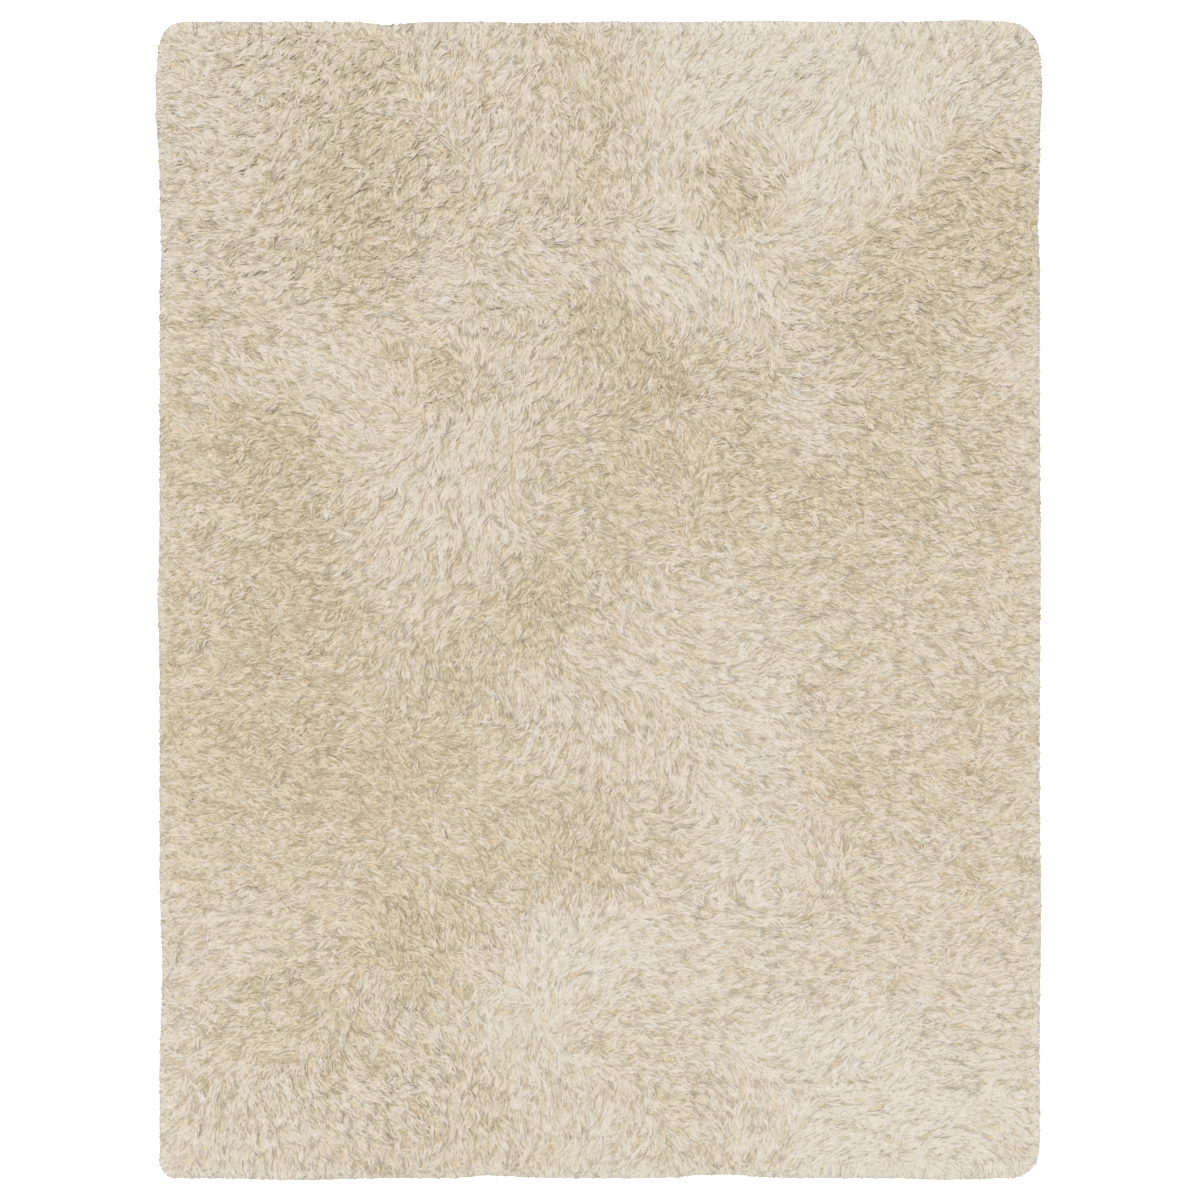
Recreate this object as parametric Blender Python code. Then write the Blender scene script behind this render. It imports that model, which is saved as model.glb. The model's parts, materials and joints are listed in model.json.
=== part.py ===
"""A rectangular shag rug lying flat on a floor, woven in one piece, as one closed solid.

Metres, +Z up. The origin is the middle of the underside, +Y runs along the rug's length and +X across
its width. The underside is flat. The pile stands out past the woven ground, leans over its edge and
comes down to the floor, so the side of the solid is a soft bulge with a rounded shoulder.

Run with: blender --background --python part.py
"""

import math

import bmesh
import bpy
from mathutils import Vector

WIDTH = 2.44
LENGTH = 3.20
PILE_TOP = 0.046
EDGE_STEP = 0.10
CORNER_STEPS = 7
LEAST_CORNER = 0.012

# How the pile splays round each corner: the turn's radius, from the corner at +X +Y and anticlockwise.
CORNER_RADII = {
    "far_right": 0.100,
    "far_left": 0.075,
    "near_left": 0.055,
    "near_right": 0.090,
}

# Where the pile lies a little further out (+) or in (-) along each side of the rug.
# side, place along the side from its middle, how far out, half of the stretch that it takes up
EDGE_WAVES = (
    ("right", 1.40, 0.007, 0.14),
    ("right", 1.03, -0.006, 0.07),
    ("right", 0.10, 0.003, 0.40),
    ("right", -0.85, 0.004, 0.30),
    ("far", 1.00, 0.006, 0.12),
    ("far", 0.45, 0.003, 0.20),
    ("far", -0.16, -0.008, 0.08),
    ("far", -0.60, -0.011, 0.08),
    ("left", 1.38, 0.012, 0.20),
    ("left", 0.97, -0.006, 0.14),
    ("left", 0.00, 0.006, 0.16),
    ("left", -1.02, -0.008, 0.26),
    ("near", -0.83, 0.006, 0.22),
    ("near", -0.27, -0.012, 0.09),
    ("near", 0.33, -0.011, 0.18),
    ("near", 0.95, 0.005, 0.16),
)

# The side of the rug from the floor to the top of the pile: height, and how far in from the outline.
SIDE_PROFILE = (
    (0.000, 0.016),
    (0.004, 0.004),
    (0.013, 0.000),
    (0.025, 0.004),
    (0.035, 0.015),
    (0.042, 0.034),
    (PILE_TOP, 0.070),
)

WOOL_COLOUR = (0.76, 0.69, 0.58, 1.0)
WOOL_ROUGHNESS = 0.92


def clear_scene():
    for thing in list(bpy.data.objects):
        bpy.data.objects.remove(thing, do_unlink=True)


def wave(side, along):
    """How far out the pile lies at a place along one side."""
    out = 0.0
    for row_side, middle, depth, half_stretch in EDGE_WAVES:
        share = abs(along - middle) / half_stretch
        if row_side == side and share < 1.0:
            out += depth * 0.5 * (1.0 + math.cos(math.pi * share))
    return out


def side_points(half_run, start_gap, end_gap):
    """Places along one side between its two corner turns, about EDGE_STEP apart."""
    start = -half_run + start_gap
    end = half_run - end_gap
    steps = round(2.0 * half_run / EDGE_STEP)
    return [start + (end - start) * step / steps for step in range(steps + 1)]


def corner_points(centre, radius, first_angle):
    """Points round one corner turn, without its two ends."""
    points = []
    for step in range(1, CORNER_STEPS):
        angle = math.radians(first_angle + 90.0 * step / CORNER_STEPS)
        points.append(centre + radius * Vector((math.cos(angle), math.sin(angle))))
    return points


def outline(inset):
    """The rug's outline, anticlockwise from above, drawn in by inset all round."""
    half_x = WIDTH / 2.0
    half_y = LENGTH / 2.0
    radii = CORNER_RADII
    far_right = Vector((half_x - radii["far_right"], half_y - radii["far_right"]))
    far_left = Vector((radii["far_left"] - half_x, half_y - radii["far_left"]))
    near_left = Vector((radii["near_left"] - half_x, radii["near_left"] - half_y))
    near_right = Vector((half_x - radii["near_right"], radii["near_right"] - half_y))

    def turn(name):
        return max(radii[name] - inset, LEAST_CORNER)

    points = []
    for along in side_points(half_y, radii["near_right"], radii["far_right"]):
        points.append(Vector((half_x - inset + wave("right", along), along)))
    points += corner_points(far_right, turn("far_right"), 0.0)
    for along in reversed(side_points(half_x, radii["far_left"], radii["far_right"])):
        points.append(Vector((along, half_y - inset + wave("far", along))))
    points += corner_points(far_left, turn("far_left"), 90.0)
    for along in reversed(side_points(half_y, radii["near_left"], radii["far_left"])):
        points.append(Vector((inset - half_x - wave("left", along), along)))
    points += corner_points(near_left, turn("near_left"), 180.0)
    for along in side_points(half_x, radii["near_left"], radii["near_right"]):
        points.append(Vector((along, inset - half_y - wave("near", along))))
    points += corner_points(near_right, turn("near_right"), 270.0)
    return points


def middle_of(points):
    """The middle of the box round some points, which is where the origin goes."""
    low = Vector((min(p.x for p in points), min(p.y for p in points)))
    high = Vector((max(p.x for p in points), max(p.y for p in points)))
    return (low + high) / 2.0


def rug_mesh():
    """The closed solid: one ring of points for each row of the side's profile, and a flat face on each end."""
    shift = middle_of(outline(0.0))
    shape = bmesh.new()
    rings = []
    for height, inset in SIDE_PROFILE:
        ring = [shape.verts.new((*(point - shift), height)) for point in outline(inset)]
        rings.append([shape.edges.new(pair) for pair in zip(ring, ring[1:] + ring[:1])])
    for lower, upper in zip(rings, rings[1:]):
        bmesh.ops.bridge_loops(shape, edges=lower + upper)
    for end in (rings[0], rings[-1]):
        bmesh.ops.contextual_create(shape, geom=end)
    bmesh.ops.recalc_face_normals(shape, faces=shape.faces)
    mesh = bpy.data.meshes.new("shag_rug")
    shape.to_mesh(mesh)
    shape.free()
    mesh.shade_smooth()
    mesh.set_sharp_from_angle(angle=math.radians(40.0))
    return mesh


def wool_material():
    material = bpy.data.materials.new("cream_wool")
    material.use_nodes = True
    shader = material.node_tree.nodes["Principled BSDF"]
    shader.inputs["Base Color"].default_value = WOOL_COLOUR
    shader.inputs["Roughness"].default_value = WOOL_ROUGHNESS
    shader.inputs["Metallic"].default_value = 0.0
    material.diffuse_color = WOOL_COLOUR
    return material


def main():
    clear_scene()
    rug = bpy.data.objects.new("shag_rug", rug_mesh())
    rug.data.materials.append(wool_material())
    bpy.context.scene.collection.objects.link(rug)


main()
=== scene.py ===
"""A cream shag rug: its woven ground, the dense wool low in its pile, and the long locks that lie over.

Metres, +Z up. Everything is fitted to the rug's plain solid, which the frame holds. The locks stand in
tufts on the ground, rise to the top of the pile and lie over in the heading that the pile is combed in,
so where neighbouring tufts lean apart the pile parts and the wool below shows.
"""

import json
import math
from collections import namedtuple

import bmesh
import bpy
import numpy as np
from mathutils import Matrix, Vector, noise

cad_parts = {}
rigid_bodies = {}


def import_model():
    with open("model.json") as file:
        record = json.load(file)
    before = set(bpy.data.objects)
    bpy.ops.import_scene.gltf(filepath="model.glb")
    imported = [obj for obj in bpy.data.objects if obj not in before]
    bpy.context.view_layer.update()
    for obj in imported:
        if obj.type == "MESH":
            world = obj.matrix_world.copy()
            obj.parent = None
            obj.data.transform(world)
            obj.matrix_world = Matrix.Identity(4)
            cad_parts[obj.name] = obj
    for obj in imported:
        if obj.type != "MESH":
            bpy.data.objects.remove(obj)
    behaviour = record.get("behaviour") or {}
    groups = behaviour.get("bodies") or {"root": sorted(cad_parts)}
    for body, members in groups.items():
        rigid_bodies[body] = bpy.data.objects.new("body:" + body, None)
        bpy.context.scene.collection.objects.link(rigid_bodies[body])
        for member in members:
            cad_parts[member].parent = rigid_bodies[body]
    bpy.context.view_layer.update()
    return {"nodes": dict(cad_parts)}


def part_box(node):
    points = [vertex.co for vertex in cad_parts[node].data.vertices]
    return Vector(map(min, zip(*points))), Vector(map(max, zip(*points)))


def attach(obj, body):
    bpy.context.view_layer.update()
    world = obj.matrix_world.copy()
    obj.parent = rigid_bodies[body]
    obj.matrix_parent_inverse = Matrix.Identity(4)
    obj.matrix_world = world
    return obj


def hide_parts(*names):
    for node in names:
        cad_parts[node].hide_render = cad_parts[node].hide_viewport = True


bl_info = {
    "name": "Shag Rug",
    "version": (1, 0, 0),
    "blender": (4, 5, 0),
    "location": "3D View > Sidebar > Shag Rug",
    "description": "Builds a long-pile rug on its woven ground, with a floor, lights and a camera",
    "category": "Object",
}

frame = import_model()
RUG_NODE = "shag_rug"
RUG_LOW, RUG_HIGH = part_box(RUG_NODE)

# The locks' map. One way runs along the lock. The other holds the shades of wool one after another, each
# from its darkest lock to its palest.
UV_NAME = "OFBake"
UV_EDGE = 0.02
SHADES = 3
SHADE_EDGE = 0.06
DOME_ON_MAP = 0.4

# The locks' shape, as shares of the pile's height and of their reach, and the least height (m) of any.
CREST_LIFT = 1.28
MEAN_LEVEL = 0.93
VISIBLE_MIDDLE = 0.62
CREST_PLACES = (0.30, 0.45)
LEAST_HEIGHT = 0.002

# The edge: how far in (m) the locks are combed outwards, how full it stands as a share of the rug's
# height, how far short of the outline (m) the tips end on average and at least, and how wide (m) the
# rim is where the locks are painted paler and less yellow, as painted light.
EDGE_COMB = 0.050
EDGE_FULLNESS = 0.55
EDGE_SPREAD = 0.010
EDGE_LEAST = 0.001
PAINTED_LIGHT_RIM = 0.008

# How far the locks' normals turn to the pile's own surface, inside and at the edge, how wide (m) that edge
# is, and how steep the surface counts as at most.
SOFTNESS = 0.40
EDGE_SOFTNESS = 0.92
SOFT_EDGE = 0.015
STEEPEST = 0.5

# Slow changes over the rug: how much, the size of the swells across and along (m), and which layer of the
# noise they are read from.
Sway = namedtuple("Sway", "amount across along layer")
HEADING_SWAYS = (Sway(math.radians(24.0), 0.17, 0.17, 1.3), Sway(math.radians(26.0), 0.20, 0.060, 4.1))
FLAT_SWAY = Sway(0.30, 0.12, 0.05, 11.2)
# The pale sway is painted shade: slow patches paler or darker, as the lay catches the light.
LAY_SHADE_SWAY = Sway(0.30, 0.07, 0.05, 15.8)
GROOVES = Sway(1.0, 0.130, 0.032, 31.7)

# The grooves between rows: the turns (degrees) that they are laid in, and how wide they are as a share of
# the way up to the row beside them. Then come the step (m) that their slope is read over, how strongly and
# how far (m) the wisps draw away, how much lower the locks are in them, and the painted shade that makes
# them darker and warmer there.
GROOVE_TURNS = (0.0, 45.0, 90.0, 135.0)
GROOVE_WIDTH = 0.32
GROOVE_STEP = 0.004
GROOVE_PULL = 0.035
GROOVE_REACH = 0.009
GROOVE_DROP = 0.20
GROOVE_PAINTED_SHADE = -0.45
GROOVE_PAINTED_WARM_SHADE = -0.5

# What a wisp is made of. A kind's stations give the place along the lock and the width there as a share.
# Then come how many a wisp has, their width (m) and how thick they are for their width, how far across the
# wisp they start (m), how much of that closes by the tip, the fan of their headings (degrees), the shortest
# and longest reach as shares, how far along they are staggered (m), how far their crests differ as a
# share, and how wide they are on the map.
LockKind = namedtuple(
    "LockKind", "stations count width thickness start close fan short long stagger uneven spread"
)
STRAND = LockKind(
    stations=((0.58, 1.0),), count=7, width=0.0038, thickness=0.40, start=0.0110, close=0.30, fan=7,
    short=0.65, long=1.20, stagger=0.010, uneven=0.07, spread=0.0120,
)
STRAY = LockKind(
    stations=((0.55, 1.0),), count=1, width=0.0026, thickness=0.40, start=0.0120, close=0.0, fan=28,
    short=0.60, long=1.10, stagger=0.015, uneven=0.02, spread=0.0080,
)
LOCK_KINDS = (STRAND, STRAY)

# How the pile is combed, patch by patch. Between patches the lay turns smoothly.
# across and along (m) give the patch's middle from the middle of the rug, then come its radius (m), the
# heading of the locks' tips (degrees from +X towards +Y), how flat they lie (0 stands up, 1 lies flat),
# and how pale they are (-1 darker, 1 paler): painted shade for how the lay catches the light.
LAY = (
    (-1.10, 1.48, 0.16, 150, 0.6, 0.2),
    (-0.86, 1.42, 0.16, 225, 0.5, -0.1),
    (-0.62, 1.30, 0.18, 222, 0.4, -0.3),
    (-0.40, 1.40, 0.16, 60, 0.5, 0.2),
    (-0.18, 1.30, 0.14, 68, 0.5, 0.1),
    (-0.02, 1.42, 0.13, 108, 0.3, -0.3),
    (0.10, 1.52, 0.12, 92, 0.7, 0.5),
    (0.30, 1.48, 0.14, 38, 0.9, 0.7),
    (0.56, 1.42, 0.15, 34, 0.9, 0.8),
    (0.80, 1.36, 0.14, 80, 0.9, 0.8),
    (1.06, 1.42, 0.14, 30, 0.7, 0.5),
    (-1.06, 1.24, 0.18, 178, 0.6, 0.2),
    (-0.70, 1.10, 0.18, 220, 0.3, -0.5),
    (-0.48, 1.10, 0.14, 228, 0.3, -0.3),
    (-0.28, 1.16, 0.12, 70, 0.6, 0.3),
    (0.02, 1.14, 0.12, 100, 0.3, -0.3),
    (0.10, 1.02, 0.10, 325, 0.6, 0.2),
    (0.19, 1.14, 0.11, 80, 0.9, 0.7),
    (0.36, 1.12, 0.10, 125, 0.1, -0.8),
    (0.44, 1.20, 0.10, 165, 0.6, 0.2),
    (0.62, 1.10, 0.12, 38, 0.9, 0.7),
    (0.82, 1.24, 0.12, 140, 0.9, 0.7),
    (1.02, 1.14, 0.14, 352, 0.4, -0.5),
    (-1.10, 0.92, 0.16, 184, 0.6, 0.1),
    (-0.86, 0.86, 0.14, 200, 0.5, 0.0),
    (-0.66, 0.92, 0.14, 205, 0.2, -0.7),
    (-0.48, 0.86, 0.12, 185, 0.7, 0.4),
    (-0.20, 0.90, 0.14, 352, 0.5, 0.2),
    (0.02, 0.78, 0.10, 300, 0.2, -0.7),
    (0.16, 0.90, 0.12, 315, 0.9, 0.7),
    (0.32, 0.86, 0.12, 280, 0.9, 0.7),
    (0.44, 0.82, 0.10, 300, 0.7, 0.4),
    (0.66, 0.84, 0.16, 6, 0.5, -0.2),
    (0.74, 0.74, 0.08, 350, 0.1, -0.9),
    (0.98, 0.94, 0.18, 352, 0.4, -0.5),
    (1.08, 0.72, 0.12, 8, 0.7, 0.2),
    (-1.06, 0.66, 0.16, 140, 0.5, -0.1),
    (-0.84, 0.70, 0.16, 162, 0.7, 0.3),
    (-0.62, 0.60, 0.14, 140, 0.7, 0.3),
    (-0.46, 0.60, 0.11, 20, 0.1, -0.8),
    (-0.30, 0.66, 0.12, 262, 0.5, 0.1),
    (-0.14, 0.68, 0.12, 230, 0.5, 0.0),
    (0.04, 0.58, 0.13, 255, 0.3, -0.3),
    (0.17, 0.62, 0.09, 280, 0.1, -0.9),
    (0.34, 0.66, 0.14, 182, 0.3, -0.2),
    (0.60, 0.58, 0.14, 350, 0.6, 0.2),
    (0.86, 0.60, 0.18, 4, 0.4, -0.3),
    (-1.06, 0.44, 0.16, 176, 0.4, -0.5),
    (-0.86, 0.38, 0.14, 186, 0.2, -0.8),
    (-0.68, 0.42, 0.12, 150, 0.6, 0.1),
    (-0.36, 0.42, 0.14, 240, 0.9, 0.4),
    (-0.20, 0.40, 0.12, 232, 0.5, 0.0),
    (0.00, 0.40, 0.12, 170, 0.2, -0.4),
    (0.20, 0.36, 0.14, 120, 0.3, -0.3),
    (0.42, 0.34, 0.14, 355, 0.3, -0.5),
    (0.60, 0.46, 0.10, 340, 0.8, 0.5),
    (0.68, 0.32, 0.10, 330, 0.2, -0.6),
    (0.90, 0.36, 0.18, 352, 0.4, -0.4),
    (1.12, 0.40, 0.14, 2, 0.5, 0.0),
    (-1.08, 0.18, 0.16, 178, 0.5, 0.0),
    (-0.84, 0.16, 0.14, 205, 0.2, -0.7),
    (-0.66, 0.24, 0.14, 228, 0.6, 0.1),
    (-0.48, 0.26, 0.14, 262, 0.9, 0.4),
    (-0.32, 0.22, 0.12, 268, 0.8, 0.3),
    (-0.12, 0.22, 0.12, 12, 0.4, -0.1),
    (0.12, 0.18, 0.14, 172, 0.3, -0.2),
    (0.38, 0.12, 0.16, 350, 0.4, -0.1),
    (0.66, 0.12, 0.16, 345, 0.4, -0.3),
    (0.94, 0.10, 0.18, 350, 0.5, -0.2),
    (-1.08, -0.04, 0.16, 190, 0.4, -0.3),
    (-0.80, 0.00, 0.14, 200, 0.2, -0.7),
    (-0.60, 0.02, 0.13, 222, 0.5, 0.0),
    (-0.42, 0.04, 0.13, 230, 0.6, 0.1),
    (-0.26, -0.02, 0.12, 215, 0.3, -0.4),
    (-0.14, -0.04, 0.10, 300, 0.1, -1.0),
    (0.10, -0.04, 0.13, 308, 0.5, 0.1),
    (0.40, -0.10, 0.16, 35, 0.8, 0.4),
    (0.66, -0.08, 0.14, 352, 0.5, 0.0),
    (0.96, -0.14, 0.18, 346, 0.6, 0.1),
    (-1.08, -0.28, 0.16, 176, 0.4, -0.5),
    (-0.80, -0.24, 0.16, 182, 0.3, -0.5),
    (-0.56, -0.22, 0.12, 262, 0.5, 0.0),
    (-0.36, -0.20, 0.10, 280, 0.2, -0.6),
    (-0.20, -0.22, 0.12, 295, 0.5, 0.1),
    (0.00, -0.20, 0.14, 328, 0.7, 0.3),
    (0.20, -0.18, 0.12, 318, 0.6, 0.3),
    (0.46, -0.26, 0.14, 340, 0.6, 0.3),
    (0.70, -0.28, 0.14, 352, 0.5, 0.0),
    (0.98, -0.34, 0.18, 350, 0.4, -0.2),
    (-1.06, -0.50, 0.16, 165, 0.4, -0.5),
    (-0.80, -0.46, 0.16, 185, 0.2, -0.6),
    (-0.52, -0.48, 0.14, 150, 0.1, -0.8),
    (-0.30, -0.44, 0.12, 210, 0.4, -0.2),
    (-0.10, -0.42, 0.12, 235, 0.5, 0.1),
    (0.08, -0.40, 0.12, 265, 0.6, 0.2),
    (0.20, -0.42, 0.10, 270, 0.6, 0.2),
    (0.44, -0.48, 0.14, 345, 0.7, 0.5),
    (0.68, -0.50, 0.14, 352, 0.3, -0.4),
    (0.96, -0.50, 0.18, 2, 0.5, 0.0),
    (-1.04, -0.72, 0.16, 184, 0.5, -0.1),
    (-0.74, -0.70, 0.16, 182, 0.4, -0.3),
    (-0.50, -0.70, 0.12, 178, 0.5, 0.0),
    (-0.28, -0.72, 0.12, 145, 0.3, -0.4),
    (-0.04, -0.66, 0.14, 75, 0.3, -0.4),
    (0.18, -0.70, 0.12, 170, 0.5, 0.1),
    (0.40, -0.72, 0.12, 205, 0.8, 0.6),
    (0.60, -0.70, 0.12, 128, 0.6, 0.3),
    (0.84, -0.72, 0.14, 350, 0.5, 0.1),
    (1.08, -0.76, 0.14, 4, 0.5, 0.1),
    (-1.04, -0.94, 0.16, 192, 0.6, 0.2),
    (-0.78, -0.90, 0.14, 188, 0.5, 0.0),
    (-0.54, -0.92, 0.14, 120, 0.1, -0.9),
    (-0.34, -0.92, 0.12, 115, 0.4, -0.1),
    (-0.14, -1.02, 0.14, 95, 0.9, 0.8),
    (0.02, -1.04, 0.13, 25, 0.9, 0.8),
    (0.22, -0.96, 0.12, 352, 0.8, 0.5),
    (0.46, -0.94, 0.16, 4, 0.6, 0.3),
    (0.74, -0.96, 0.16, 348, 0.5, 0.1),
    (1.04, -0.98, 0.16, 12, 0.6, 0.2),
    (-1.08, -1.14, 0.14, 200, 0.5, 0.1),
    (-0.86, -1.14, 0.16, 205, 0.3, -0.3),
    (-0.66, -1.12, 0.12, 268, 0.4, -0.1),
    (-0.46, -1.14, 0.12, 310, 0.4, -0.1),
    (-0.26, -1.16, 0.12, 245, 0.8, 0.6),
    (0.02, -1.16, 0.12, 8, 0.4, -0.1),
    (0.22, -1.18, 0.12, 355, 0.6, 0.3),
    (0.56, -1.24, 0.14, 40, 0.9, 0.8),
    (0.76, -1.20, 0.12, 32, 0.8, 0.7),
    (1.02, -1.22, 0.16, 350, 0.7, 0.4),
    (-1.08, -1.42, 0.14, 240, 0.7, 0.3),
    (-0.86, -1.42, 0.14, 300, 0.6, 0.2),
    (-0.62, -1.34, 0.14, 335, 0.4, 0.0),
    (-0.36, -1.42, 0.14, 262, 0.4, 0.0),
    (-0.14, -1.36, 0.12, 280, 0.7, 0.4),
    (0.04, -1.46, 0.12, 225, 0.7, 0.4),
    (0.22, -1.34, 0.12, 345, 0.5, 0.1),
    (0.44, -1.36, 0.12, 270, 0.7, 0.5),
    (0.70, -1.40, 0.15, 200, 0.9, 0.8),
    (0.94, -1.42, 0.15, 22, 0.9, 0.9),
    (1.12, -1.44, 0.12, 320, 0.8, 0.7),
)

# Far from every patch the pile is a little combed, and its painted lay shade is neither pale nor dark.
PLAIN_SHARE = 0.05
PLAIN_FLATNESS = 0.5


class GroundSettings(bpy.types.PropertyGroup):
    """The woven cloth that the tufts stand on."""

    thickness: bpy.props.FloatProperty(
        name="Thickness", description="Thickness of the woven ground", default=0.003, unit="LENGTH"
    )
    margin: bpy.props.FloatProperty(
        name="Margin", description="How far the pile reaches past the ground", default=0.036, unit="LENGTH"
    )
    hem_radius: bpy.props.FloatProperty(
        name="Edge radius", description="Rounding of the ground's edge", default=0.0008, unit="LENGTH"
    )
    rib_spacing: bpy.props.FloatProperty(
        name="Rib spacing", description="Distance between the weave's ribs", default=0.009, unit="LENGTH"
    )
    colour: bpy.props.FloatVectorProperty(
        name="Colour", description="Colour of the ground yarn", subtype="COLOR", default=(0.50, 0.39, 0.24)
    )


class PileSettings(bpy.types.PropertyGroup):
    """The tufts and their locks."""

    seed: bpy.props.IntProperty(name="Seed", description="Picks how the locks vary", default=7)
    tuft_spacing: bpy.props.FloatProperty(
        name="Tuft spacing", description="Distance between tufts", default=0.0237, unit="LENGTH"
    )
    wisps: bpy.props.IntProperty(name="Wisps", description="Wisps in a tuft", default=2)
    edge_spacing: bpy.props.FloatProperty(
        name="Edge spacing", description="Distance between tufts on the edge", default=0.012, unit="LENGTH"
    )
    reach_flat: bpy.props.FloatProperty(
        name="Reach lying", description="How far a lock reaches where it lies flat", default=0.080,
        unit="LENGTH",
    )
    reach_upright: bpy.props.FloatProperty(
        name="Reach upright", description="How far a lock reaches where it stands", default=0.044,
        unit="LENGTH",
    )
    bands: bpy.props.IntProperty(
        name="Bands", description="Pieces that the pile is made in, along the rug", default=6
    )
    tip_colour: bpy.props.FloatVectorProperty(
        name="Tip colour", description="Colour of the locks' tips", subtype="COLOR",
        default=(0.88, 0.84, 0.80),
    )
    # The roots' darker, warmer colour is painted shade deep in the pile.
    root_shade_colour: bpy.props.FloatVectorProperty(
        name="Root colour", description="Colour of the locks' roots", subtype="COLOR",
        default=(0.71, 0.63, 0.49),
    )


class UndercoatSettings(bpy.types.PropertyGroup):
    """The dense wool low in the pile."""

    height: bpy.props.FloatProperty(
        name="Height", description="Mean height of the dense wool", default=0.0260, unit="LENGTH"
    )
    swell: bpy.props.FloatProperty(
        name="Swell", description="How far it rises and dips", default=0.005, unit="LENGTH"
    )
    margin: bpy.props.FloatProperty(
        name="Margin", description="How far in from the pile's outline it ends", default=0.008, unit="LENGTH"
    )
    step: bpy.props.FloatProperty(
        name="Step", description="Distance between its points", default=0.026, unit="LENGTH"
    )
    # The dense wool's colour is darker and warmer than the locks' tips: painted shade low in the pile.
    colour: bpy.props.FloatVectorProperty(
        name="Colour", description="Colour of the dense wool", subtype="COLOR", default=(0.70, 0.61, 0.46)
    )


class StageSettings(bpy.types.PropertyGroup):
    """The floor, the lights and the camera."""

    floor_size: bpy.props.FloatProperty(
        name="Floor size", description="Width of the floor", default=120.0, unit="LENGTH"
    )
    floor_colour: bpy.props.FloatVectorProperty(
        name="Floor colour", description="Colour of the floor", subtype="COLOR", default=(0.90, 0.90, 0.90)
    )
    floor_glow: bpy.props.FloatProperty(
        name="Floor glow", description="Light that the floor gives off, as a light table does", default=0.85
    )
    lens: bpy.props.FloatProperty(name="Lens", description="Focal length in millimetres", default=80.0)
    length_share: bpy.props.FloatProperty(
        name="Length share", description="Share of the picture's height that the rug takes up",
        default=0.9695, subtype="FACTOR",
    )
    sideways: bpy.props.FloatProperty(
        name="Sideways", description="How far right of the rug's middle the camera hangs", default=0.0027,
        unit="LENGTH",
    )
    key_strength: bpy.props.FloatProperty(
        name="Key light", description="Strength of the broad light above", default=2.25
    )
    key_angle: bpy.props.FloatProperty(
        name="Key spread", description="How wide the broad light looks", default=math.radians(24.0),
        subtype="ANGLE",
    )
    key_place: bpy.props.FloatVectorProperty(
        name="Key place", description="Where the broad light comes from", default=(-0.25, 0.45, 6.0),
        subtype="XYZ",
    )
    sky_strength: bpy.props.FloatProperty(
        name="Sky light", description="Strength of the even light all round", default=0.34
    )


def rug_levels():
    """The points of the rug's solid, and the heights of its rows of points."""
    mesh = frame["nodes"][RUG_NODE].data
    points = np.array([vertex.co for vertex in mesh.vertices], float)
    return points, np.unique(np.round(points[:, 2], 4))


def rug_outline():
    """The rug's widest outline, anticlockwise from above, as (number of points, 2)."""
    points, _ = rug_levels()
    widest = points[np.argmax(points[:, 0]), 2]
    ring = np.unique(np.round(points[np.abs(points[:, 2] - widest) < 1e-4, :2], 5), axis=0)
    return ring[np.argsort(np.arctan2(ring[:, 1], ring[:, 0]))]


def side_profile():
    """How high the pile stands at each distance in from the outline, by the solid's own rows."""
    points, levels = rug_levels()
    widest = points[:, 0].max()
    insets = [widest - points[np.abs(points[:, 2] - z) < 1e-4, 0].max() for z in levels]
    rows = [(inset, z) for inset, z in zip(insets, levels) if z >= levels[np.argmin(insets)]]
    return np.array(sorted(rows)).T


OUTLINE = rug_outline()
PROFILE = side_profile()


def edge_gap(points):
    """How far in from the rug's outline each point lies, and the outward direction of the nearest edge."""
    start = OUTLINE
    run = np.roll(OUTLINE, -1, axis=0) - start
    length = np.hypot(run[:, 0], run[:, 1])
    outward = np.stack((run[:, 1], -run[:, 0]), axis=1) / length[:, None]
    gaps = np.empty(len(points))
    normals = np.empty((len(points), 2))
    chunk = 20000
    for first in range(0, len(points), chunk):
        some = points[first : first + chunk]
        away = some[:, None, :] - start[None]
        share = np.clip((away * run[None]).sum(2) / length**2, 0.0, 1.0)
        off = away - share[:, :, None] * run[None]
        nearest = np.argmin((off**2).sum(2), axis=1)
        rows = np.arange(len(some))
        normal = outward[nearest]
        distance = np.hypot(off[rows, nearest, 0], off[rows, nearest, 1])
        inside = np.where((off[rows, nearest] * normal).sum(1) > 0.0, -1.0, 1.0)
        gaps[first : first + chunk] = distance * inside
        normals[first : first + chunk] = normal
    return gaps, normals


def pile_top(gap):
    """How high the pile stands at a distance in from the outline."""
    return np.interp(gap, PROFILE[0], PROFILE[1])


def rolling(points, across, along, turn=0.0, layer=0.0):
    """Smooth noise from about -1 to 1, with swells of the given size in metres across and along a turn."""
    c = math.cos(math.radians(turn))
    s = math.sin(math.radians(turn))
    x = (points[:, 0] * c + points[:, 1] * s) / across
    y = (points[:, 1] * c - points[:, 0] * s) / along
    return np.array([noise.noise(Vector((a, b, layer))) for a, b in zip(x, y)]) * 1.6


def swayed(points, sway, turn=0.0):
    """One of the rug's slow changes at each point. Each turn reads a layer of its own."""
    return sway.amount * rolling(points, sway.across, sway.along, turn, layer=sway.layer + turn)


def combed(points):
    """The heading in radians, flatness and paleness of the pile at each point; paleness is painted lay shade.
    """
    east = np.full(len(points), 1e-6)
    north = np.zeros(len(points))
    flat = np.full(len(points), PLAIN_FLATNESS * PLAIN_SHARE)
    pale = np.zeros(len(points))
    total = np.full(len(points), PLAIN_SHARE)
    for across, along, radius, heading, flatness, painted_lay_shade in LAY:
        apart = (points[:, 0] - across) ** 2 + (points[:, 1] - along) ** 2
        near = np.exp(-apart / radius**2)
        east += near * math.cos(math.radians(heading))
        north += near * math.sin(math.radians(heading))
        flat += near * flatness
        pale += near * painted_lay_shade
        total += near
    return np.arctan2(north, east), flat / total, pale / total


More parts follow.
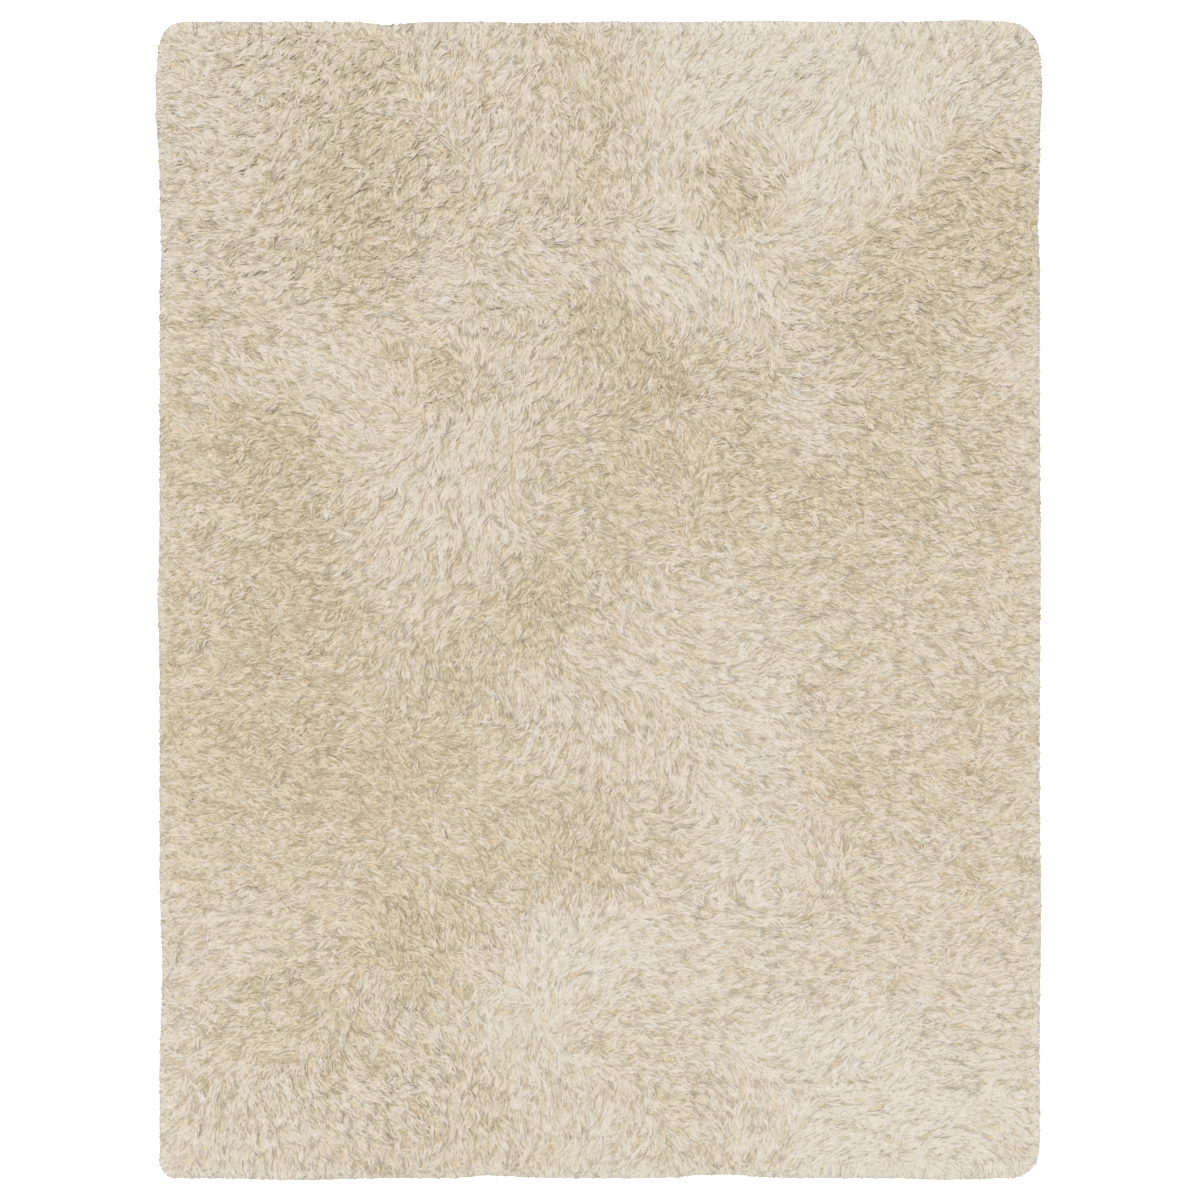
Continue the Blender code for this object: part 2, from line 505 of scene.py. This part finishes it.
def off_groove(points, heading):
    """How far each point is from a groove: 0 in one, up to about 1 on the row between two.

    The grooves are long narrow lines along the heading, where the locks part in rows.
    """
    total = np.zeros(len(points))
    shares = np.zeros(len(points))
    for turn in GROOVE_TURNS:
        share = np.maximum(0.0, np.cos(2.0 * (heading - math.radians(turn)))) ** 2
        near = share > 0.0
        total[near] += share[near] * swayed(points[near], GROOVES, turn)
        shares += share
    return np.abs(total / shares)


def plant(pile):
    """Where the tufts show: rows all over the rug, moved about a little, and a closer row along its edge."""
    rng = np.random.default_rng(pile.seed)
    spacing = pile.tuft_spacing
    across = np.arange(RUG_LOW.x, RUG_HIGH.x, spacing)
    along = np.arange(RUG_LOW.y, RUG_HIGH.y, spacing)
    rows = np.stack(np.meshgrid(across, along), axis=-1).reshape(-1, 2)
    rows = rows + rng.uniform(-0.40, 0.40, rows.shape) * spacing
    gap, _ = edge_gap(rows)
    rows = rows[gap > 0.4 * spacing]
    edge = walk_outline(pile.edge_spacing)
    _, normal = edge_gap(edge)
    edge = edge - normal * rng.uniform(0.006, 0.016, len(edge))[:, None]
    return np.concatenate((rows, edge))


def walk_outline(step):
    """Points along the rug's outline, a step apart."""
    ends = np.concatenate((OUTLINE, OUTLINE[:1]))
    run = np.concatenate(([0.0], np.cumsum(np.hypot(*np.diff(ends, axis=0).T))))
    places = np.arange(0.0, run[-1], step)
    return np.stack((np.interp(places, run, ends[:, 0]), np.interp(places, run, ends[:, 1])), axis=1)


def lock_template(stations):
    """One lock as a closed flat spindle on Z, from its root at 0 to its tip at 1, a little domed.

    Each station gives its place along the lock and its half width, as a share of the lock's own.
    """
    shape = bmesh.new()
    corners = [(0.0, 0.0, 0.0), (0.0, 0.0, 1.0)]
    for place, width in stations:
        corners.append((-width, 1.0, place))
        corners.append((width, 1.0, place))
    verts = [shape.verts.new(corner) for corner in corners]
    bmesh.ops.convex_hull(shape, input=verts)
    bmesh.ops.triangulate(shape, faces=shape.faces)
    bmesh.ops.recalc_face_normals(shape, faces=shape.faces)
    shape.verts.index_update()
    points = np.array([vertex.co for vertex in shape.verts])
    faces = np.array([[vertex.index for vertex in face.verts] for face in shape.faces])
    shape.free()
    return points, faces


def lock_shapes(points, root, crest, tip, half_width, thickness):
    """Every lock's points: the template's rings set square to a curve from root over crest to tip."""
    t = points[:, 2][None, :, None]
    centre = (1 - t) ** 2 * root[:, None] + 2 * t * (1 - t) * crest[:, None] + t**2 * tip[:, None]
    along = (1 - t) * (crest - root)[:, None] + t * (tip - crest)[:, None]
    along /= np.linalg.norm(along, axis=2, keepdims=True)
    lie = tip - root
    side = np.stack((-lie[:, 1], lie[:, 0], np.zeros(len(lie))), axis=1)
    side /= np.maximum(np.linalg.norm(side, axis=1, keepdims=True), 1e-9)
    side = np.broadcast_to(side[:, None], centre.shape)
    top = np.cross(along, side)
    across = points[:, 0][None, :, None] * half_width[:, None, None]
    up = points[:, 1][None, :, None] * half_width[:, None, None] * thickness
    return centre + side * across + top * up


def lock_map(points, faces, tone, spread):
    """Every face corner's place on the locks' map: along the lock, and the lock's tone across it."""
    u = points[faces, 2]
    v = points[faces, 0] * spread + points[faces, 1] * spread * DOME_ON_MAP
    span = 1.0 - 2.0 * UV_EDGE
    corners = np.empty((len(tone), *faces.shape, 2))
    corners[..., 0] = UV_EDGE + span * u[None]
    corners[..., 1] = tone[:, None, None] + v[None]
    return corners.reshape(-1, 2)


def soft_normals(mesh):
    """Turns the locks' normals towards the pile's own surface, as light that spreads through wool does."""
    count = len(mesh.vertices)
    places = np.empty(count * 3, np.float32)
    own = np.empty(count * 3, np.float32)
    mesh.vertices.foreach_get("co", places)
    mesh.vertex_normals.foreach_get("vector", own)
    gap, outward = edge_gap(places.reshape(-1, 3)[:, :2].astype(float))
    step = 0.004
    slope = (pile_top(gap + step) - pile_top(gap - step)) / (2.0 * step)
    slope = np.minimum(slope, STEEPEST)
    pile_normal = np.column_stack((outward * slope[:, None], np.ones(count)))
    pile_normal /= np.linalg.norm(pile_normal, axis=1, keepdims=True)
    share = SOFTNESS + (EDGE_SOFTNESS - SOFTNESS) * np.exp(-np.maximum(gap, 0.0) / SOFT_EDGE)
    soft = pile_normal * share[:, None] + own.reshape(-1, 3) * (1.0 - share)[:, None]
    soft /= np.linalg.norm(soft, axis=1, keepdims=True)
    mesh.normals_split_custom_set_from_vertices(soft.astype(np.float32))


def mesh_object(name, parts):
    """One object from several sets of locks, each given as its points, faces and map."""
    points, faces, corners = [], [], []
    count = 0
    for shapes, template_faces, uv in parts:
        own = np.arange(len(shapes)) * shapes.shape[1]
        points.append(shapes.reshape(-1, 3))
        faces.append((own[:, None, None] + template_faces[None]).reshape(-1, 3) + count)
        corners.append(uv)
        count += len(points[-1])
    points = np.concatenate(points)
    faces = np.concatenate(faces)
    mesh = bpy.data.meshes.new(name)
    mesh.vertices.add(len(points))
    mesh.vertices.foreach_set("co", points.astype(np.float32).ravel())
    mesh.loops.add(faces.size)
    mesh.loops.foreach_set("vertex_index", faces.astype(np.int32).ravel())
    mesh.polygons.add(len(faces))
    mesh.polygons.foreach_set("loop_start", np.arange(0, faces.size, 3, dtype=np.int32))
    mesh.update(calc_edges=True)
    mesh.shade_smooth()
    layer = mesh.uv_layers.new(name=UV_NAME)
    layer.uv.foreach_set("vector", np.concatenate(corners).astype(np.float32).ravel())
    mesh.validate()
    soft_normals(mesh)
    return new_object(name, mesh)


def new_object(name, mesh):
    thing = bpy.data.objects.new(name, mesh)
    bpy.context.scene.collection.objects.link(thing)
    return thing


def tuft_lay(tufts, rng):
    """How each tuft lies: its heading, flatness and paleness (painted shade), how long it has grown and how
    high.
    """
    heading, flat, pale = combed(tufts)
    gap, outward = edge_gap(tufts)
    loose = 1.0 - 0.6 * flat
    for sway in HEADING_SWAYS:
        heading = heading + loose * swayed(tufts, sway)
    flat = np.clip(flat + swayed(tufts, FLAT_SWAY), 0.0, 1.0)
    pale = np.clip(pale + swayed(tufts, LAY_SHADE_SWAY), -1.0, 1.0)
    near_edge = np.exp(-((gap / EDGE_COMB) ** 2))
    east = np.cos(heading) * (1.0 - near_edge) + outward[:, 0] * near_edge
    north = np.sin(heading) * (1.0 - near_edge) + outward[:, 1] * near_edge
    turn = np.radians(12.0 + 16.0 * (1.0 - flat)) * rng.normal(0.0, 1.0, len(tufts))
    grown = rng.uniform(0.85, 1.15, len(tufts))
    level = MEAN_LEVEL + rng.uniform(-0.04, 0.04, len(tufts)) * (1.3 - flat)
    return np.arctan2(north, east) + turn, flat, pale, grown, level


def part_wisps(tufts, lay, pile, rng):
    """The wisps of every tuft: where each shows, and how it lies."""
    middle = np.repeat(tufts, pile.wisps, axis=0)
    heading, flat, pale, grown, level = (np.repeat(values, pile.wisps) for values in lay)
    many = len(middle)
    middle = middle + rng.uniform(-0.42, 0.42, (many, 2)) * pile.tuft_spacing
    heading = heading + np.radians(9.0 * (1.6 - flat)) * rng.normal(0.0, 1.0, many)
    # The wisps gather on the rows between the grooves.
    side = np.stack((-np.sin(heading), np.cos(heading)), axis=1)
    step = side * GROOVE_STEP
    rise = off_groove(middle + step, heading) - off_groove(middle - step, heading)
    middle = middle + side * np.clip(GROOVE_PULL * rise, -GROOVE_REACH, GROOVE_REACH)[:, None]
    pale = pale + rng.normal(0.0, 0.18, many)
    grown = grown * rng.uniform(0.80, 1.20, many)
    level = level + rng.uniform(-0.035, 0.035, many) * (1.3 - flat)
    return middle, (heading, flat, pale, grown, level)


def grow_locks(wisps, lay, kind, pile, margin, rng):
    """The curves of one kind of lock in every wisp: root, crest and tip, with half widths and tones."""
    middle = np.repeat(wisps, kind.count, axis=0)
    heading, flat, pale, grown, level = (np.repeat(values, kind.count) for values in lay)
    many = len(middle)
    angle = heading + np.radians(kind.fan) * (1.7 - 1.0 * flat) * rng.normal(0.0, 1.0, many)
    lean = np.stack((np.cos(angle), np.sin(angle)), axis=1)
    side = np.stack((-lean[:, 1], lean[:, 0]), axis=1)
    offset = side * (rng.uniform(-1.0, 1.0, many) * kind.start)[:, None]
    middle = middle + lean * (rng.uniform(-1.0, 1.0, many) * kind.stagger)[:, None]
    # How deep each lock lies in a groove: it sinks the lock there and darkens it with painted shade.
    depth = np.clip(1.0 - off_groove(middle + offset, heading) / GROOVE_WIDTH, 0.0, 1.0) * (1.25 - flat)
    reach = pile.reach_upright + (pile.reach_flat - pile.reach_upright) * flat
    reach = reach * grown * rng.uniform(kind.short, kind.long, many)
    root = middle + offset - lean * (VISIBLE_MIDDLE * reach)[:, None]
    root_gap, root_outward = edge_gap(root)
    root = root - root_outward * np.maximum(0.0, margin - root_gap)[:, None]
    tip = middle + offset * (1.0 - kind.close) + lean * ((1.0 - VISIBLE_MIDDLE) * reach)[:, None]
    gap, outward = edge_gap(tip)
    over = np.maximum(0.0, rng.exponential(EDGE_SPREAD, many) + EDGE_LEAST - gap)
    tip = tip - outward * over[:, None]
    gap = gap + over
    bow = rng.normal(0.0, 1.0, many) * (0.14 - 0.08 * flat) * reach
    crest = root + (tip - root) * rng.uniform(*CREST_PLACES, many)[:, None] + side * bow[:, None]
    crest_gap, _ = edge_gap(crest)
    level = level + rng.uniform(-1.0, 1.0, many) * kind.uneven * (1.3 - 0.8 * flat) - GROOVE_DROP * depth
    crest_z = pile_top(np.maximum(crest_gap, 0.0)) * level * CREST_LIFT
    hang = rng.uniform(0.08, 1.0, many) ** 0.7
    inner = np.clip((gap - 0.01) / 0.05, 0.0, 1.0)
    lying = level * (0.70 + 0.24 * (1.0 - flat)) * rng.uniform(0.96, 1.04, many)
    tip_level = inner * lying + (1.0 - inner) * hang
    full = np.maximum(pile_top(np.maximum(gap, 0.0)), EDGE_FULLNESS * RUG_HIGH.z)
    tip_z = np.clip(full * tip_level, LEAST_HEIGHT, RUG_HIGH.z)
    half = 0.5 * kind.width * rng.uniform(0.8, 1.2, many)
    # Painted light: near the outline the locks are made paler and less yellow, as wool that light shines
    # through.
    rim = np.exp(-np.maximum(gap, 0.0) / PAINTED_LIGHT_RIM)
    # Painted shade: locks deep in a groove, and where the lay is dark, get a darker tone and a warmer,
    # yellower hue; the rest of the tone and warmth varies at random.
    tone = 0.62 + 0.20 * pale + GROOVE_PAINTED_SHADE * depth + 0.30 * rim
    tone = tone + rng.normal(0.0, 1.0, many) * (0.60 - 0.22 * flat)
    warmth = 1.5 + 1.3 * pale + GROOVE_PAINTED_WARM_SHADE * depth + 0.8 * rim + rng.uniform(-0.5, 0.5, many)
    shade = np.clip(np.floor(warmth), 0.0, SHADES - 1.0)
    return (
        np.column_stack((root, np.full(many, LEAST_HEIGHT))),
        np.column_stack((crest, crest_z)),
        np.column_stack((tip, tip_z)),
        half,
        (shade + SHADE_EDGE + (1.0 - 2.0 * SHADE_EDGE) * np.clip(tone, 0.0, 1.0)) / SHADES,
    )


def node(tree, kind, **values):
    """A new shader node with its sockets or properties set by name."""
    made = tree.nodes.new(kind)
    for name, value in values.items():
        if hasattr(made, name):
            setattr(made, name, value)
        else:
            made.inputs[name.replace("_", " ")].default_value = value
    return made


def new_material(name, roughness, sheen):
    """A cloth material, its tree and its shader."""
    material = bpy.data.materials.new(name)
    material.use_nodes = True
    shader = material.node_tree.nodes["Principled BSDF"]
    shader.inputs["Roughness"].default_value = roughness
    shader.inputs["Specular IOR Level"].default_value = 0.15
    shader.inputs["Sheen Weight"].default_value = sheen
    shader.inputs["Sheen Roughness"].default_value = 0.5
    return material, material.node_tree, shader


def set_ramp(ramp, stops):
    """Gives a colour ramp its stops, each a place and a colour."""
    elements = ramp.color_ramp.elements
    while len(elements) < len(stops):
        elements.new(0.5)
    for element, (place, colour) in zip(elements, stops):
        element.position = place
        element.color = (*colour, 1.0)


def mixed(low, high, share):
    return tuple(a + (b - a) * share for a, b in zip(low, high))


def wool_material(pile):
    """The locks' wool: painted shade darkens and warms the root, pale at the tip, each lock with a tone of
    its own.
    """
    material, tree, shader = new_material("pile_wool", 0.85, 0.15)
    place = node(tree, "ShaderNodeUVMap", uv_map=UV_NAME)
    parts = node(tree, "ShaderNodeSeparateXYZ")
    tree.links.new(place.outputs["UV"], parts.inputs["Vector"])
    root = tuple(pile.root_shade_colour)
    tip = tuple(pile.tip_colour)
    along = node(tree, "ShaderNodeValToRGB")
    # The darker, warmer root end is painted shade deep in the pile.
    stops = ((0.30, root), (0.52, mixed(root, tip, 0.55)), (0.76, mixed(root, tip, 0.9)), (1.0, tip))
    set_ramp(along, stops)
    tree.links.new(parts.outputs["X"], along.inputs["Fac"])
    # The map's other way holds the shades one after another, each from its darkest lock to its palest.
    # The darker tones and yellower shades carry painted shade, the palest and whitest the rim's painted
    # light.
    spread = node(tree, "ShaderNodeMath", operation="MULTIPLY")
    spread.inputs[1].default_value = SHADES
    tree.links.new(parts.outputs["Y"], spread.inputs[0])
    tone = node(tree, "ShaderNodeMath", operation="FRACT")
    tree.links.new(spread.outputs["Value"], tone.inputs[0])
    tones = node(tree, "ShaderNodeValToRGB")
    set_ramp(tones, ((0.0, (0.66, 0.63, 0.54)), (0.5, (0.91, 0.90, 0.87)), (1.0, (1.0, 1.0, 1.0))))
    tree.links.new(tone.outputs["Value"], tones.inputs["Fac"])
    shades = node(tree, "ShaderNodeValToRGB")
    shades.color_ramp.interpolation = "CONSTANT"
    # The yellowest hue is painted warm shade of grooves and dark lay; the whitest goes with the rim's painted
    # light.
    hues = ((0.95, 0.905, 0.78), (0.98, 0.965, 0.91), (1.0, 1.0, 1.0))
    set_ramp(shades, [(shade / SHADES, hue) for shade, hue in enumerate(hues)])
    tree.links.new(parts.outputs["Y"], shades.inputs["Fac"])
    toned = node(tree, "ShaderNodeMix", data_type="RGBA", blend_type="MULTIPLY")
    toned.inputs["Factor"].default_value = 1.0
    tree.links.new(tones.outputs["Color"], toned.inputs["A"])
    tree.links.new(shades.outputs["Color"], toned.inputs["B"])
    lit = node(tree, "ShaderNodeMix", data_type="RGBA", blend_type="MULTIPLY")
    lit.inputs["Factor"].default_value = 1.0
    tree.links.new(along.outputs["Color"], lit.inputs["A"])
    tree.links.new(toned.outputs["Result"], lit.inputs["B"])
    stretch = node(tree, "ShaderNodeMapping")
    stretch.inputs["Scale"].default_value = (3.0, 170.0, 1.0)
    tree.links.new(place.outputs["UV"], stretch.inputs["Vector"])
    fibres = node(tree, "ShaderNodeTexNoise", Scale=1.0, Detail=2.0, Roughness=0.7)
    tree.links.new(stretch.outputs["Vector"], fibres.inputs["Vector"])
    streaks = node(tree, "ShaderNodeValToRGB")
    set_ramp(streaks, ((0.36, (0.84, 0.82, 0.79)), (0.58, (1.0, 1.0, 1.0))))
    tree.links.new(fibres.outputs["Fac"], streaks.inputs["Fac"])
    streaked = node(tree, "ShaderNodeMix", data_type="RGBA", blend_type="MULTIPLY")
    streaked.inputs["Factor"].default_value = 1.0
    tree.links.new(lit.outputs["Result"], streaked.inputs["A"])
    tree.links.new(streaks.outputs["Color"], streaked.inputs["B"])
    tree.links.new(streaked.outputs["Result"], shader.inputs["Base Color"])
    rough = node(tree, "ShaderNodeMapRange", To_Min=0.78, To_Max=0.95)
    tree.links.new(fibres.outputs["Fac"], rough.inputs["Value"])
    tree.links.new(rough.outputs["Result"], shader.inputs["Roughness"])
    bump = node(tree, "ShaderNodeBump", Strength=0.3, Distance=0.0006)
    tree.links.new(fibres.outputs["Fac"], bump.inputs["Height"])
    tree.links.new(bump.outputs["Normal"], shader.inputs["Normal"])
    return material


def undercoat_material(under):
    """The dense wool: mottled, with a short matted nap, painted darker and warmer as shade low in the pile.
    """
    material, tree, shader = new_material("undercoat_wool", 0.95, 0.1)
    place = node(tree, "ShaderNodeTexCoord")
    mottle = node(tree, "ShaderNodeTexNoise", Scale=150.0, Detail=2.0, Roughness=0.6, Distortion=1.6)
    tree.links.new(place.outputs["Object"], mottle.inputs["Vector"])
    colour = tuple(under.colour)
    ramp = node(tree, "ShaderNodeValToRGB")
    deep = mixed(colour, (0.36, 0.28, 0.16), 0.55)
    pale = mixed(colour, (0.88, 0.82, 0.72), 0.6)
    set_ramp(ramp, ((0.32, deep), (0.48, colour), (0.66, pale)))
    tree.links.new(mottle.outputs["Fac"], ramp.inputs["Fac"])
    # The edge, where it thins out to the floor, has no painted shade and is as pale as the locks' tips.
    height = node(tree, "ShaderNodeSeparateXYZ")
    tree.links.new(place.outputs["Object"], height.inputs["Vector"])
    thick = node(tree, "ShaderNodeMapRange", From_Min=0.012, From_Max=0.020)
    tree.links.new(height.outputs["Z"], thick.inputs["Value"])
    whole = node(tree, "ShaderNodeMix", data_type="RGBA")
    whole.inputs["A"].default_value = (0.86, 0.80, 0.73, 1.0)
    tree.links.new(thick.outputs["Result"], whole.inputs["Factor"])
    tree.links.new(ramp.outputs["Color"], whole.inputs["B"])
    tree.links.new(whole.outputs["Result"], shader.inputs["Base Color"])
    nap = node(tree, "ShaderNodeTexNoise", Scale=320.0, Detail=3.0, Distortion=1.2)
    tree.links.new(place.outputs["Object"], nap.inputs["Vector"])
    bump = node(tree, "ShaderNodeBump", Strength=0.8, Distance=0.003)
    tree.links.new(nap.outputs["Fac"], bump.inputs["Height"])
    tree.links.new(bump.outputs["Normal"], shader.inputs["Normal"])
    return material


def ground_material(ground):
    """The ground's weave: ribs along the rug, crossed by the weft that holds them."""
    material, tree, shader = new_material("ground_weave", 0.9, 0.05)
    place = node(tree, "ShaderNodeTexCoord")
    scale = 0.5 / ground.rib_spacing
    ribs = node(tree, "ShaderNodeTexWave", bands_direction="X", Scale=scale, Distortion=0.4, Detail=2.0)
    weft = node(tree, "ShaderNodeTexWave", bands_direction="Y", Scale=scale * 2.0, Distortion=0.4, Detail=2.0)
    for wave in (ribs, weft):
        tree.links.new(place.outputs["Object"], wave.inputs["Vector"])
    weave = node(tree, "ShaderNodeMath", operation="MULTIPLY")
    tree.links.new(ribs.outputs["Fac"], weave.inputs[0])
    tree.links.new(weft.outputs["Fac"], weave.inputs[1])
    colour = tuple(ground.colour)
    ramp = node(tree, "ShaderNodeValToRGB")
    set_ramp(ramp, ((0.0, mixed(colour, (0.0, 0.0, 0.0), 0.35)), (1.0, mixed(colour, (1.0, 1.0, 1.0), 0.2))))
    tree.links.new(weave.outputs["Value"], ramp.inputs["Fac"])
    tree.links.new(ramp.outputs["Color"], shader.inputs["Base Color"])
    bump = node(tree, "ShaderNodeBump", Strength=0.7, Distance=0.0015)
    tree.links.new(weave.outputs["Value"], bump.inputs["Height"])
    tree.links.new(bump.outputs["Normal"], shader.inputs["Normal"])
    return material


def floor_material(stage):
    """The plain floor."""
    material = bpy.data.materials.new("floor")
    material.use_nodes = True
    shader = material.node_tree.nodes["Principled BSDF"]
    shader.inputs["Base Color"].default_value = (*stage.floor_colour, 1.0)
    shader.inputs["Roughness"].default_value = 0.9
    shader.inputs["Specular IOR Level"].default_value = 0.1
    shader.inputs["Emission Color"].default_value = (1.0, 1.0, 1.0, 1.0)
    shader.inputs["Emission Strength"].default_value = stage.floor_glow
    return material


class SHAG_OT_ground(bpy.types.Operator):
    """Weaves the ground: a thin cloth a little smaller than the pile's outline."""

    bl_idname = "shag.ground"
    bl_label = "Woven Ground"

    def execute(self, context):
        ground = context.scene.shag_ground
        shape = bmesh.new()
        corners = [shape.verts.new((x, y, 0.0)) for x, y in OUTLINE]
        face = shape.faces.new(corners)
        face.normal_update()
        bmesh.ops.inset_region(
            shape, faces=[face], thickness=ground.margin, use_boundary=True, use_even_offset=True
        )
        outer = [other for other in shape.faces if other is not face]
        bmesh.ops.delete(shape, geom=outer, context="FACES")
        grown = bmesh.ops.extrude_face_region(shape, geom=[face])["geom"]
        top = [item for item in grown if isinstance(item, bmesh.types.BMVert)]
        bmesh.ops.translate(shape, verts=top, vec=(0.0, 0.0, ground.thickness))
        bmesh.ops.recalc_face_normals(shape, faces=shape.faces)
        sharp = [edge for edge in shape.edges if edge.calc_face_angle(0.0) > math.radians(60.0)]
        bmesh.ops.bevel(
            shape, geom=sharp, offset=ground.hem_radius, affect="EDGES", segments=2, profile=0.5,
            material=-1,
        )
        mesh = bpy.data.meshes.new("ground_cloth")
        shape.to_mesh(mesh)
        shape.free()
        cloth = new_object("ground_cloth", mesh)
        mesh.materials.append(ground_material(ground))
        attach(cloth, "root")
        return {"FINISHED"}


class SHAG_OT_undercoat(bpy.types.Operator):
    """Fills the low part of the pile with dense wool, which shows where the locks part."""

    bl_idname = "shag.undercoat"
    bl_label = "Dense Wool"

    def execute(self, context):
        under = context.scene.shag_undercoat
        margin = under.margin
        half_x = RUG_HIGH.x - margin
        half_y = RUG_HIGH.y - margin
        shape = bmesh.new()
        bmesh.ops.create_grid(
            shape,
            x_segments=round(2.0 * half_x / under.step),
            y_segments=round(2.0 * half_y / under.step),
            size=1.0,
        )
        bmesh.ops.scale(shape, verts=shape.verts, vec=(half_x, half_y, 1.0))
        places = np.array([vertex.co for vertex in shape.verts])[:, :2]
        gap, outward = edge_gap(places)
        places -= outward * np.maximum(0.0, margin - gap)[:, None]
        gap, _ = edge_gap(places)
        height = under.height + under.swell * rolling(places, 0.05, 0.04, layer=21.5)
        height = np.minimum(height, pile_top(gap) * 0.62)
        for vertex, (x, y), z in zip(shape.verts, places, height):
            vertex.co = (x, y, z)
        rim = [edge for edge in shape.edges if edge.is_boundary]
        grown = bmesh.ops.extrude_edge_only(shape, edges=rim)["geom"]
        foot = [item for item in grown if isinstance(item, bmesh.types.BMVert)]
        for vertex in foot:
            vertex.co.z = LEAST_HEIGHT * 0.5
        bmesh.ops.edgeloop_fill(shape, edges=[edge for edge in shape.edges if edge.is_boundary])
        bmesh.ops.recalc_face_normals(shape, faces=shape.faces)
        mesh = bpy.data.meshes.new("dense_wool")
        shape.to_mesh(mesh)
        shape.free()
        mesh.shade_smooth()
        mesh.set_sharp_from_angle(angle=math.radians(50.0))
        wool = new_object("dense_wool", mesh)
        mesh.materials.append(undercoat_material(under))
        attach(wool, "root")
        return {"FINISHED"}


class SHAG_OT_pile(bpy.types.Operator):
    """Grows the locks in bands along the rug: strands that fan out in wisps, and strays across them."""

    bl_idname = "shag.pile"
    bl_label = "Pile"

    def execute(self, context):
        pile = context.scene.shag_pile
        tufts = plant(pile)
        margin = context.scene.shag_ground.margin
        rng = np.random.default_rng(pile.seed + 1)
        wisps, lay = part_wisps(tufts, tuft_lay(tufts, rng), pile, rng)
        grown = []
        for kind in LOCK_KINDS:
            locks = grow_locks(wisps, lay, kind, pile, margin, rng)
            grown.append((kind, *lock_template(kind.stations), locks))
        wool = wool_material(pile)
        edges = np.linspace(RUG_LOW.y, RUG_HIGH.y, pile.bands + 1)
        for band, (start, end) in enumerate(zip(edges, edges[1:]), 1):
            parts = []
            for kind, points, faces, (root, crest, tip, half, tone) in grown:
                own = (root[:, 1] >= start) & (root[:, 1] < end)
                shapes = lock_shapes(points, root[own], crest[own], tip[own], half[own], kind.thickness)
                shapes[..., 2] = np.maximum(shapes[..., 2], LEAST_HEIGHT * 0.5)
                parts.append((shapes, faces, lock_map(points, faces, tone[own], kind.spread)))
            locks = mesh_object(f"pile_band_{band}", parts)
            locks.data.materials.append(wool)
            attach(locks, "root")
        return {"FINISHED"}


class SHAG_OT_stage(bpy.types.Operator):
    """Lays the floor and sets the lights, and hangs the camera straight above the rug."""

    bl_idname = "shag.stage"
    bl_label = "Stage"

    def execute(self, context):
        stage = context.scene.shag_stage
        shape = bmesh.new()
        bmesh.ops.create_grid(shape, x_segments=1, y_segments=1, size=stage.floor_size / 2.0)
        bmesh.ops.translate(shape, verts=shape.verts, vec=(0.0, 0.0, -0.001))
        mesh = bpy.data.meshes.new("floor")
        shape.to_mesh(mesh)
        shape.free()
        floor = new_object("floor", mesh)
        mesh.materials.append(floor_material(stage))
        key = bpy.data.lights.new("key", "SUN")
        key.energy = stage.key_strength
        key.angle = stage.key_angle
        lamp = new_object("key", key)
        lamp.location = stage.key_place
        lamp.rotation_euler = (-lamp.location).to_track_quat("-Z", "Y").to_euler()
        world = bpy.data.worlds.new("sky")
        world.use_nodes = True
        sky = world.node_tree.nodes["Background"]
        sky.inputs["Color"].default_value = (1.0, 0.975, 0.93, 1.0)
        sky.inputs["Strength"].default_value = stage.sky_strength
        context.scene.world = world
        camera = bpy.data.cameras.new("camera")
        camera.lens = stage.lens
        middle = (RUG_LOW + RUG_HIGH) / 2.0
        picture = (RUG_HIGH.y - RUG_LOW.y) / stage.length_share
        away = picture * stage.lens / camera.sensor_width
        view = new_object("camera", camera)
        view.location = (middle.x + stage.sideways, middle.y, away)
        context.scene.camera = view
        context.scene.view_settings.view_transform = "Standard"
        return {"FINISHED"}


class SHAG_PT_panel(bpy.types.Panel):
    """The steps that build the rug, in order."""

    bl_idname = "SHAG_PT_panel"
    bl_label = "Shag Rug"
    bl_space_type = "VIEW_3D"
    bl_region_type = "UI"
    bl_category = "Shag Rug"

    def draw(self, context):
        scene = context.scene
        for step, group in STEPS:
            box = self.layout.box()
            box.operator(step)
            settings = getattr(scene, group)
            for name in settings.bl_rna.properties.keys():
                if name not in ("rna_type", "name"):
                    box.prop(settings, name)


STEPS = (
    ("shag.ground", "shag_ground"),
    ("shag.undercoat", "shag_undercoat"),
    ("shag.pile", "shag_pile"),
    ("shag.stage", "shag_stage"),
)
SETTINGS = {
    "shag_ground": GroundSettings,
    "shag_undercoat": UndercoatSettings,
    "shag_pile": PileSettings,
    "shag_stage": StageSettings,
}
OPERATORS = (SHAG_OT_ground, SHAG_OT_undercoat, SHAG_OT_pile, SHAG_OT_stage, SHAG_PT_panel)


def register():
    for kind in (*SETTINGS.values(), *OPERATORS):
        bpy.utils.register_class(kind)
    for name, kind in SETTINGS.items():
        setattr(bpy.types.Scene, name, bpy.props.PointerProperty(type=kind))


def unregister():
    for name in SETTINGS:
        delattr(bpy.types.Scene, name)
    for kind in reversed((*SETTINGS.values(), *OPERATORS)):
        bpy.utils.unregister_class(kind)


def main():
    register()
    bpy.ops.shag.ground()
    bpy.ops.shag.undercoat()
    bpy.ops.shag.pile()
    bpy.ops.shag.stage()
    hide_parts(RUG_NODE)


if __name__ == "__main__":
    main()
